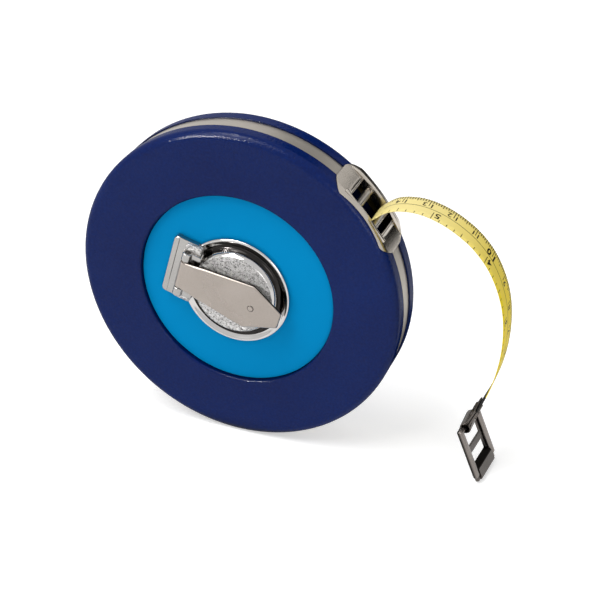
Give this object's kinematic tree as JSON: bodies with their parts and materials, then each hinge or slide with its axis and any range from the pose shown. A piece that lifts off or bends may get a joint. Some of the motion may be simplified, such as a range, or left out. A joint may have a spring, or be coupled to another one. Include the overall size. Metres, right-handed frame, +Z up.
{
  "type": "surveyor tape reel",
  "caption": "Round closed-case surveying tape reel with a metal rim band, roller mouth, free tape end with a hook ring, and a winding hub with a fold-away crank.",
  "frame": {"origin": "centre of the flat back face, on the reel's winding axis", "axes": "+Y along the winding axis, out of the back face; the crank is on the -Y side; +Z up as the reel stands on its rim; the mouth points up and towards +X"},
  "size_m": [0.172, 0.0278, 0.133],
  "materials": {
    "case_plastic": "dark blue moulded plastic with a fine grain",
    "label_print": "light blue printed label",
    "nickel_steel": "nickel plated steel sheet",
    "chrome_cast": "chrome plated zinc casting",
    "tape_lacquer": "yellow lacquered steel",
    "gunmetal": "dark nickel plated steel",
    "fastener_steel": "zinc plated steel",
    "bearing_bronze": "sintered bronze",
    "knob_plastic": "black moulded plastic",
    "drum_alloy": "cast aluminium"
  },
  "bodies": {
    "case": {"front_cover": "case_plastic", "rear_cover": "case_plastic", "rim_band": "nickel_steel", "front_label": "label_print", "case_screws": "fastener_steel", "mouth_plate": "nickel_steel", "roller_pins": "fastener_steel", "front_bush": "bearing_bronze", "rear_bush": "bearing_bronze", "tape_lead": "tape_lacquer", "tape_blade": "tape_lacquer", "tape_end_clip": "gunmetal", "clip_rivets": "gunmetal"},
    "drum": {"drum": "drum_alloy", "spindle": "fastener_steel", "tape_winding": "tape_lacquer", "crank_hub": "chrome_cast", "hub_screws": "fastener_steel", "hinge_pin": "fastener_steel"},
    "crank": {"crank_arm": "nickel_steel", "knob_rivet": "nickel_steel"},
    "knob": {"winding_knob": "knob_plastic"},
    "upper_roller": {"upper_roller": "nickel_steel"},
    "lower_roller": {"lower_roller": "nickel_steel"},
    "end_ring": {"end_ring": "gunmetal"}
  },
  "joints": [
    {"name": "drum_spin", "type": "hinge", "parent": "case", "child": "drum", "pos_m": [0, -0.011, 0], "axis": [0, -1, 0], "continuous": true},
    {"name": "crank_fold", "type": "hinge", "parent": "drum", "child": "crank", "pos_m": [-0.02036, -0.0254, 0.00592], "axis": [-0.279, 0, -0.9603], "range_deg": [0, 180]},
    {"name": "knob_spin", "type": "hinge", "parent": "crank", "child": "knob", "pos_m": [0.00893, -0.02085, -0.0026], "axis": [0, -1, 0], "continuous": true},
    {"name": "upper_roller_spin", "type": "hinge", "parent": "case", "child": "upper_roller", "pos_m": [0.04756, -0.011, 0.04357], "axis": [0, -1, 0], "continuous": true},
    {"name": "lower_roller_spin", "type": "hinge", "parent": "case", "child": "lower_roller", "pos_m": [0.05367, -0.011, 0.03578], "axis": [0, -1, 0], "continuous": true},
    {"name": "ring_swing", "type": "hinge", "parent": "case", "child": "end_ring", "pos_m": [0.0935, -0.011, -0.0444], "axis": [-0.0969, -0.9945, -0.0392], "range_deg": [-190, 100]}
  ]
}
